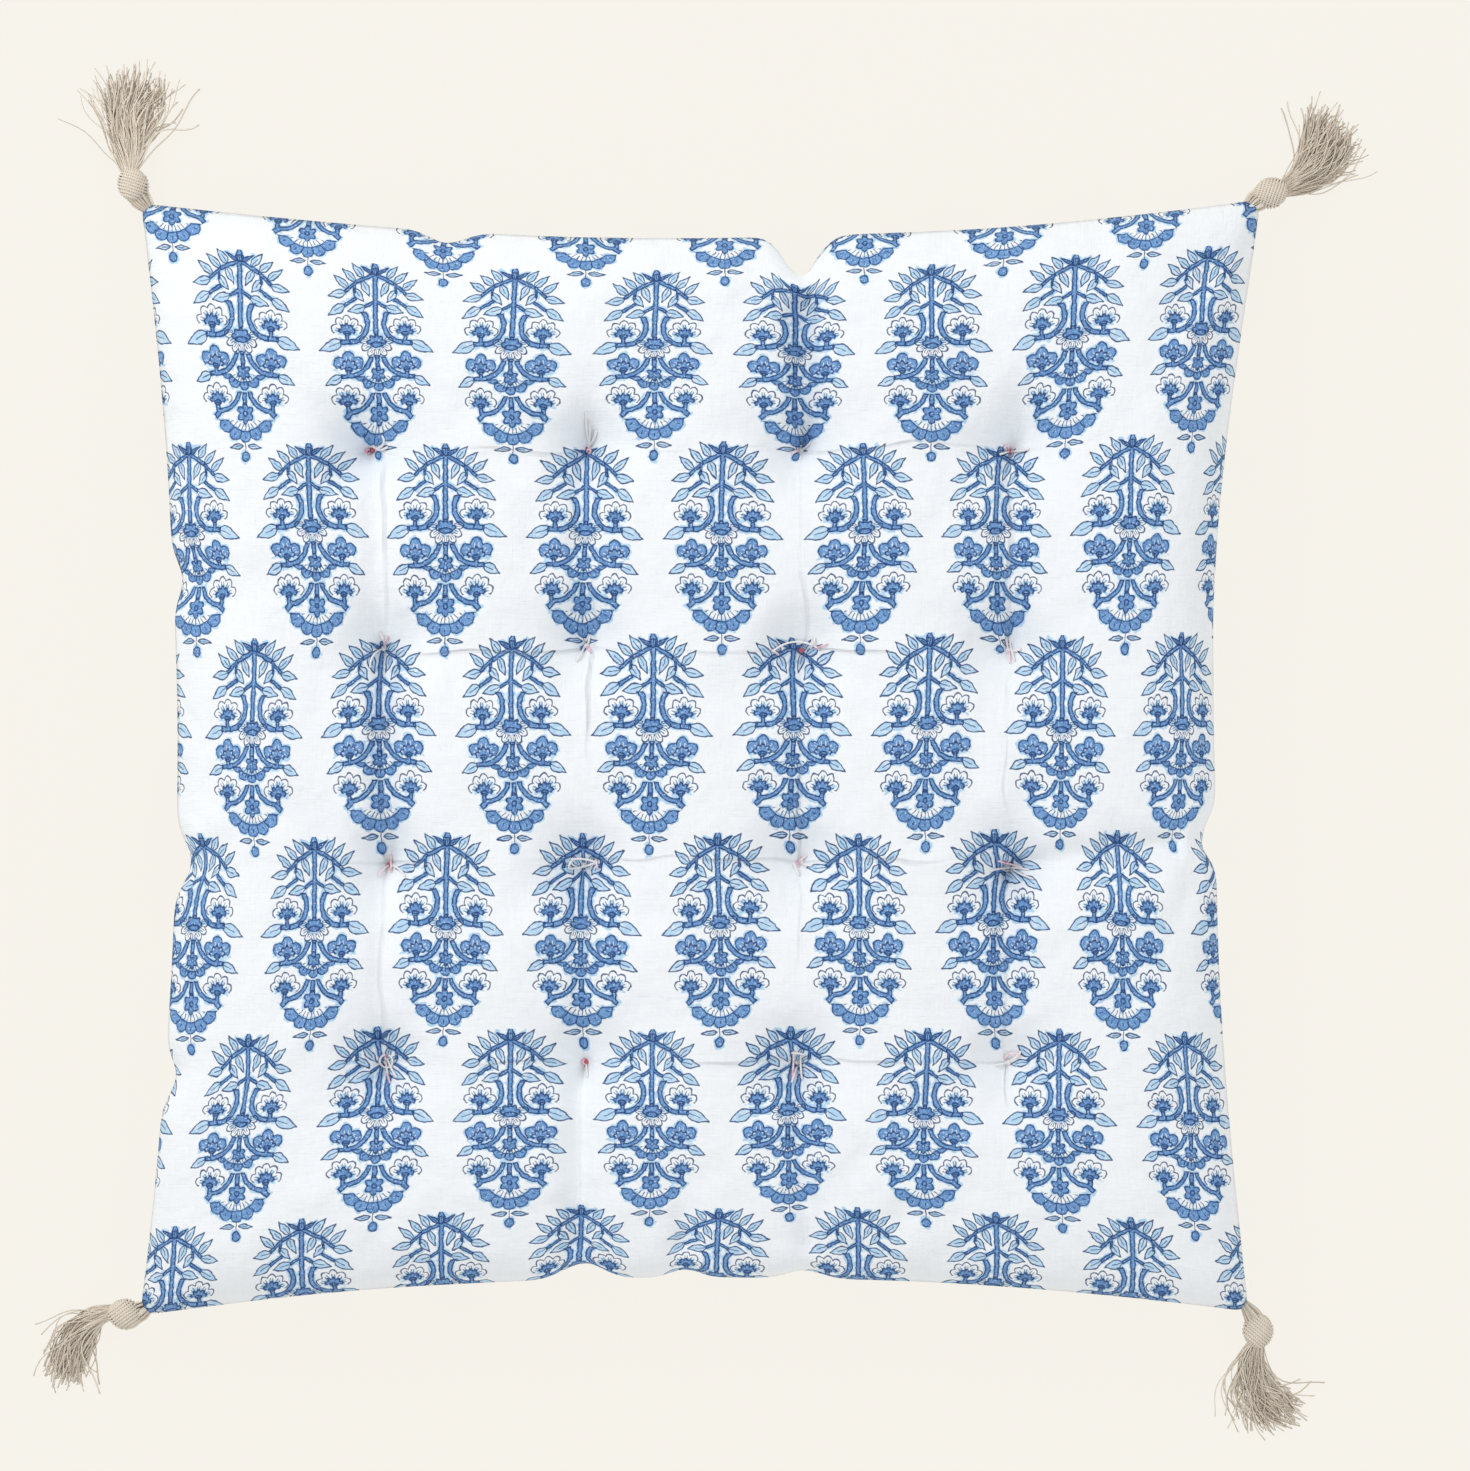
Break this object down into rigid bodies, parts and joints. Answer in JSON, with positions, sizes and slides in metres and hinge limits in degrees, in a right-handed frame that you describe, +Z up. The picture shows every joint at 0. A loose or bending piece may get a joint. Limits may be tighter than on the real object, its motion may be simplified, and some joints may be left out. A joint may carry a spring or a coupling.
{
  "type": "floor cushion",
  "caption": "Square tufted floor cushion in block-printed cotton, with thread ties and a knotted linen tassel at each corner.",
  "frame": {"origin": "centre of the flat underside, on the surface that the cushion lies on", "axes": "+Z up through the cushion, +X to the right side, +Y to the back side"},
  "size_m": [0.7187, 0.7455, 0.07],
  "materials": {
    "printed_cotton": "matte",
    "cotton_wadding": "matte",
    "thread": "matte",
    "linen_yarn": "matte"
  },
  "bodies": {
    "cushion": {"top_panel": "printed_cotton", "bottom_panel": "printed_cotton", "wadding_bottom": "cotton_wadding", "wadding_middle": "cotton_wadding", "wadding_top": "cotton_wadding", "seam_overlock": "thread", "tie_row1_column1": "thread", "tie_row1_column2": "thread", "tie_row1_column3": "thread", "tie_row1_column4": "thread", "tie_row2_column1": "thread", "tie_row2_column2": "thread", "tie_row2_column3": "thread", "tie_row2_column4": "thread", "tie_row3_column1": "thread", "tie_row3_column2": "thread", "tie_row3_column3": "thread", "tie_row3_column4": "thread", "tie_row4_column1": "thread", "tie_row4_column2": "thread", "tie_row4_column3": "thread", "tie_row4_column4": "thread", "tassel_neck_back_left": "linen_yarn", "tassel_neck_back_right": "linen_yarn", "tassel_neck_front_right": "linen_yarn", "tassel_neck_front_left": "linen_yarn"},
    "knot_back_left": {"tassel_knot_back_left": "linen_yarn"},
    "skirt_back_left": {"tassel_skirt_back_left": "linen_yarn"},
    "knot_back_right": {"tassel_knot_back_right": "linen_yarn"},
    "skirt_back_right": {"tassel_skirt_back_right": "linen_yarn"},
    "knot_front_right": {"tassel_knot_front_right": "linen_yarn"},
    "skirt_front_right": {"tassel_skirt_front_right": "linen_yarn"},
    "knot_front_left": {"tassel_knot_front_left": "linen_yarn"},
    "skirt_front_left": {"tassel_skirt_front_left": "linen_yarn"}
  },
  "joints": [
    {"name": "swing_back_left", "type": "hinge", "parent": "cushion", "child": "knot_back_left", "pos_m": [-0.29497, 0.29497, 0.015], "axis": [0, 0, 1], "range_deg": [-30, 75]},
    {"name": "lift_back_left", "type": "hinge", "parent": "knot_back_left", "child": "skirt_back_left", "pos_m": [-0.29953, 0.30821, 0.015], "axis": [0.9925, 0.1219, 0], "range_deg": [0, 75]},
    {"name": "swing_back_right", "type": "hinge", "parent": "cushion", "child": "knot_back_right", "pos_m": [0.29497, 0.29497, 0.015], "axis": [0, 0, 1], "range_deg": [-30, 60]},
    {"name": "lift_back_right", "type": "hinge", "parent": "knot_back_right", "child": "skirt_back_right", "pos_m": [0.30836, 0.29907, 0.015], "axis": [0.8192, -0.5736, 0], "range_deg": [0, 75]},
    {"name": "swing_front_right", "type": "hinge", "parent": "cushion", "child": "knot_front_right", "pos_m": [0.29497, -0.29497, 0.015], "axis": [0, 0, 1], "range_deg": [-30, 80]},
    {"name": "lift_front_right", "type": "hinge", "parent": "knot_front_right", "child": "skirt_front_right", "pos_m": [0.29424, -0.30896, 0.015], "axis": [-0.9962, -0.0872, 0], "range_deg": [0, 75]},
    {"name": "swing_front_left", "type": "hinge", "parent": "cushion", "child": "knot_front_left", "pos_m": [-0.29497, -0.29497, 0.015], "axis": [0, 0, 1], "range_deg": [-15, 65]},
    {"name": "lift_front_left", "type": "hinge", "parent": "knot_front_left", "child": "skirt_front_left", "pos_m": [-0.30829, -0.29065, 0.015], "axis": [-0.342, 0.9397, 0], "range_deg": [0, 75]}
  ]
}
